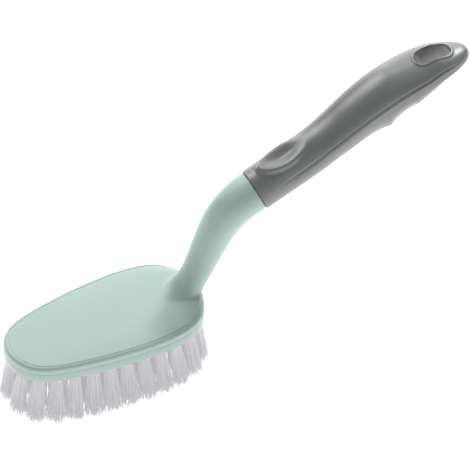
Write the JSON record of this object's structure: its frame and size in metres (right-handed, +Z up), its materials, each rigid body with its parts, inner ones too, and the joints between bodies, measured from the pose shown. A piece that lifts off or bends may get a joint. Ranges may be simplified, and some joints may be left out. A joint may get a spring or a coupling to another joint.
{
  "type": "scrub brush",
  "caption": "Hand scrub brush: oval bristled head, curved neck rising at one end, and a hollow moulded grip with thumb rest, finger scallops and hanging slot.",
  "frame": {"origin": "middle of the bounding box in plan, on the plane of the bristle tips that the brush stands on", "axes": "+X along the brush from the head's tip to the grip's end, +Y to the side, square to the plane that the two halves mirror in, +Z up from the bristle tips to the grip"},
  "size_m": [0.2914, 0.0708, 0.1528],
  "materials": {
    "mint_moulding": "semi-gloss moulded plastic, pale mint green",
    "mint_block": "semi-gloss moulded plastic, pale mint green",
    "grey_grip": "satin moulded plastic, mid grey",
    "nylon": "translucent white nylon filament"
  },
  "bodies": {
    "root": {"grip": "grey_grip", "head_and_neck": "mint_moulding", "tuft_block": "mint_block", "tuft_core_left_01": "nylon", "tuft_core_left_02": "nylon", "tuft_core_left_03": "nylon", "tuft_core_left_04": "nylon", "tuft_core_left_05": "nylon", "tuft_core_left_06": "nylon", "tuft_core_right_01": "nylon", "tuft_core_right_02": "nylon", "tuft_core_right_03": "nylon", "tuft_core_right_04": "nylon", "tuft_core_right_05": "nylon", "tuft_core_right_06": "nylon", "tuft_middle_left_01": "nylon", "tuft_middle_left_02": "nylon", "tuft_middle_left_03": "nylon", "tuft_middle_left_04": "nylon", "tuft_middle_left_05": "nylon", "tuft_middle_left_06": "nylon", "tuft_middle_left_07": "nylon", "tuft_middle_left_08": "nylon", "tuft_middle_left_09": "nylon", "tuft_middle_right_01": "nylon", "tuft_middle_right_02": "nylon", "tuft_middle_right_03": "nylon", "tuft_middle_right_04": "nylon", "tuft_middle_right_05": "nylon", "tuft_middle_right_06": "nylon", "tuft_middle_right_07": "nylon", "tuft_middle_right_08": "nylon", "tuft_middle_right_09": "nylon", "tuft_outer_left_01": "nylon", "tuft_outer_left_02": "nylon", "tuft_outer_left_03": "nylon", "tuft_outer_left_04": "nylon", "tuft_outer_left_05": "nylon", "tuft_outer_left_06": "nylon", "tuft_outer_left_07": "nylon", "tuft_outer_left_08": "nylon", "tuft_outer_left_09": "nylon", "tuft_outer_left_10": "nylon", "tuft_outer_left_11": "nylon", "tuft_outer_left_12": "nylon", "tuft_outer_left_13": "nylon", "tuft_outer_right_01": "nylon", "tuft_outer_right_02": "nylon", "tuft_outer_right_03": "nylon", "tuft_outer_right_04": "nylon", "tuft_outer_right_05": "nylon", "tuft_outer_right_06": "nylon", "tuft_outer_right_07": "nylon", "tuft_outer_right_08": "nylon", "tuft_outer_right_09": "nylon", "tuft_outer_right_10": "nylon", "tuft_outer_right_11": "nylon", "tuft_outer_right_12": "nylon", "tuft_outer_right_13": "nylon"}
  },
  "joints": []
}
